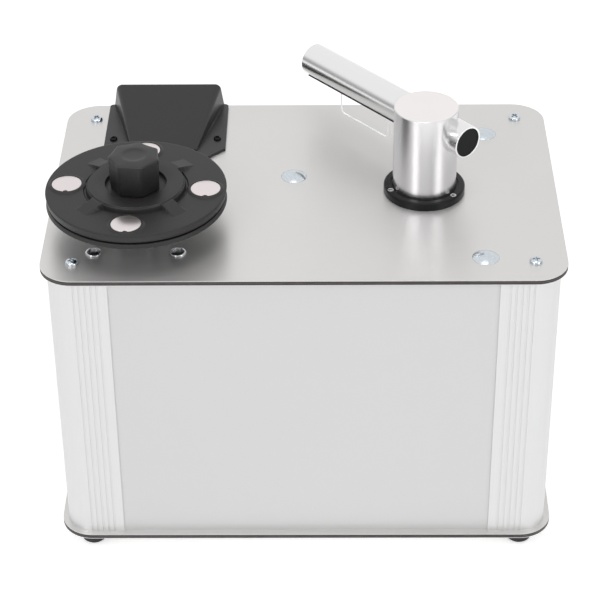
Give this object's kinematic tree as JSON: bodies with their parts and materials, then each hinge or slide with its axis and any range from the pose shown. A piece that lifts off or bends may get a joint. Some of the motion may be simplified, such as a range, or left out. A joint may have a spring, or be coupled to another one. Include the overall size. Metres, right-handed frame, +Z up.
{
  "type": "record cleaning machine",
  "caption": "Record cleaning machine: a boxy case with a driven platter under a screw-down clamp, a swinging suction arm on a post, an exhaust hood, and a tank and vacuum unit inside.",
  "frame": {"origin": "on the surface that the feet stand on, below the middle of the case", "axes": "+X towards the suction arm's side of the case, +Y towards the side that the exhaust hood blows to, +Z up"},
  "size_m": [0.385, 0.256, 0.335],
  "materials": {
    "plate_skin": "satin brushed",
    "plate_core": "dark core of a composite sheet",
    "profile": "satin anodised",
    "panel": "satin anodised",
    "foot_rubber": "matte moulded rubber",
    "zinc_steel": "bright zinc plated",
    "screw_steel": "turned stainless steel",
    "die_cast": "as cast",
    "bronze": "sintered bronze",
    "motor_steel": "drawn steel can",
    "armature": "lacquered laminations and copper winding",
    "gear_steel": "cut steel",
    "gear_plastic": "moulded acetal",
    "spindle_steel": "ground steel",
    "turned_aluminium": "turned, satin",
    "platter_plastic": "turned black plastic",
    "mat_rubber": "soft rubber",
    "clamp_plastic": "turned black plastic",
    "magnet": "nickel plated disc",
    "seal_rubber": "soft rubber",
    "knob_plastic": "moulded black plastic",
    "brass_insert": "turned brass",
    "black_anodised": "turned and anodised black",
    "arm_alloy": "turned and satin anodised",
    "bearing_alloy": "turned",
    "spring_steel": "drawn spring wire",
    "tube_alloy": "drawn and satin anodised",
    "cap_plastic": "moulded black plastic",
    "felt": "black adhesive velvet strip",
    "clear_plastic": "clear moulded plastic",
    "tank_plastic": "moulded natural plastic",
    "lid_plastic": "moulded plastic",
    "fitting_plastic": "moulded black plastic and rubber",
    "stopper_rubber": "red rubber",
    "shelf_steel": "folded steel sheet",
    "fan_plastic": "moulded black plastic",
    "duct_steel": "rolled sheet",
    "hose_rubber": "smooth hose",
    "hood_plastic": "satin moulded black plastic",
    "black_steel": "blackened steel",
    "switch_plastic": "moulded black plastic",
    "rocker_plastic": "moulded black plastic",
    "inlet_plastic": "moulded black plastic",
    "board": "green glass-fibre board with moulded parts",
    "wire": "black insulation"
  },
  "bodies": {
    "case": {"top_plate_skins": "plate_skin", "top_plate_core": "plate_core", "bottom_plate_skins": "plate_skin", "bottom_plate_core": "plate_core", "front_corner_profiles": "profile", "rear_corner_profiles": "profile", "front_panel": "panel", "rear_panel": "panel", "left_panel": "panel", "right_panel": "panel", "rubber_feet": "foot_rubber", "case_screws": "zinc_steel", "gearbox_housing": "die_cast", "gearbox_cover": "die_cast", "socket_screws": "screw_steel", "spindle_bearings": "bronze", "motor_can": "motor_steel", "arm_flange": "black_anodised", "arm_bearing": "bearing_alloy", "bearing_cap": "bearing_alloy", "tank_body": "tank_plastic", "tank_lid": "lid_plastic", "tank_bolts": "zinc_steel", "tank_fittings": "fitting_plastic", "vacuum_shelf": "shelf_steel", "fan_housing": "fan_plastic", "vacuum_motor": "motor_steel", "exhaust_duct": "duct_steel", "air_hose": "hose_rubber", "exhaust_hood": "hood_plastic", "hood_screws": "black_steel", "switch_bodies": "switch_plastic", "mains_inlet": "inlet_plastic", "control_board": "board", "wire_loom": "wire"},
    "platter_group": {"spindle": "spindle_steel", "output_gear": "gear_plastic", "platter_hub": "turned_aluminium", "platter": "platter_plastic", "platter_mat": "mat_rubber"},
    "drive_rotor": {"motor_armature": "armature", "motor_pinion": "gear_steel"},
    "clamp_group": {"clamp_disc": "clamp_plastic", "clamp_magnets": "magnet", "clamp_seal": "seal_rubber"},
    "knob_group": {"clamp_knob": "knob_plastic", "knob_insert": "brass_insert", "knob_retainer": "turned_aluminium"},
    "swing_group": {"swing_sleeve": "bearing_alloy", "lift_spring": "spring_steel"},
    "arm_group": {"arm_post": "arm_alloy", "suction_tube": "tube_alloy", "tube_caps": "cap_plastic", "felt_strips": "felt", "clear_guard": "clear_plastic"},
    "vacuum_rotor_group": {"vacuum_rotor": "armature"},
    "vacuum_switch": {"vacuum_rocker": "rocker_plastic"},
    "platter_switch": {"platter_rocker": "rocker_plastic"},
    "drain_plug": {"drain_stopper": "stopper_rubber"},
    "fuse_holder": {"fuse_drawer": "rocker_plastic"}
  },
  "joints": [
    {"name": "platter_spin", "type": "hinge", "parent": "case", "child": "platter_group", "pos_m": [-0.1232, -0.06, 0.262], "axis": [0, 0, 1], "continuous": true},
    {"name": "motor_spin", "type": "hinge", "parent": "case", "child": "drive_rotor", "pos_m": [-0.1232, -0.036, 0.2], "axis": [0, 0, 1], "continuous": true},
    {"name": "clamp_lift", "type": "slide", "parent": "platter_group", "child": "clamp_group", "axis": [0, 0, 1], "range_m": [0, 0.06]},
    {"name": "knob_turn", "type": "hinge", "parent": "clamp_group", "child": "knob_group", "pos_m": [-0.1232, -0.06, 0.312], "axis": [0, 0, 1], "continuous": true},
    {"name": "arm_swing", "type": "hinge", "parent": "case", "child": "swing_group", "pos_m": [0.0916, -0.0042, 0.262], "axis": [0, 0, 1], "range_deg": [-40, 75]},
    {"name": "arm_drop", "type": "slide", "parent": "swing_group", "child": "arm_group", "axis": [0, 0, 1], "range_m": [-0.0093, 0], "stiffness_N_per_m": 200, "springref_m": 0.02, "deforming": ["lift_spring"]},
    {"name": "vacuum_spin", "type": "hinge", "parent": "case", "child": "vacuum_rotor_group", "pos_m": [-0.111, 0.066, 0.15], "axis": [0, 0, 1], "continuous": true},
    {"name": "vacuum_switch_tilt", "type": "hinge", "parent": "case", "child": "vacuum_switch", "pos_m": [0.1855, -0.064, 0.216], "axis": [0, 1, 0], "range_deg": [0, 16]},
    {"name": "platter_switch_tilt", "type": "hinge", "parent": "case", "child": "platter_switch", "pos_m": [0.1855, -0.064, 0.172], "axis": [0, 1, 0], "range_deg": [-8, 8]},
    {"name": "drain_plug_pull", "type": "slide", "parent": "case", "child": "drain_plug", "axis": [0, 1, 0], "range_m": [0, 0.012]},
    {"name": "fuse_holder_pull", "type": "slide", "parent": "case", "child": "fuse_holder", "axis": [0, 1, 0], "range_m": [0, 0.012]}
  ],
  "couplings": [
    {"joint": "motor_spin", "follows": "platter_spin", "ratio": -3}
  ]
}
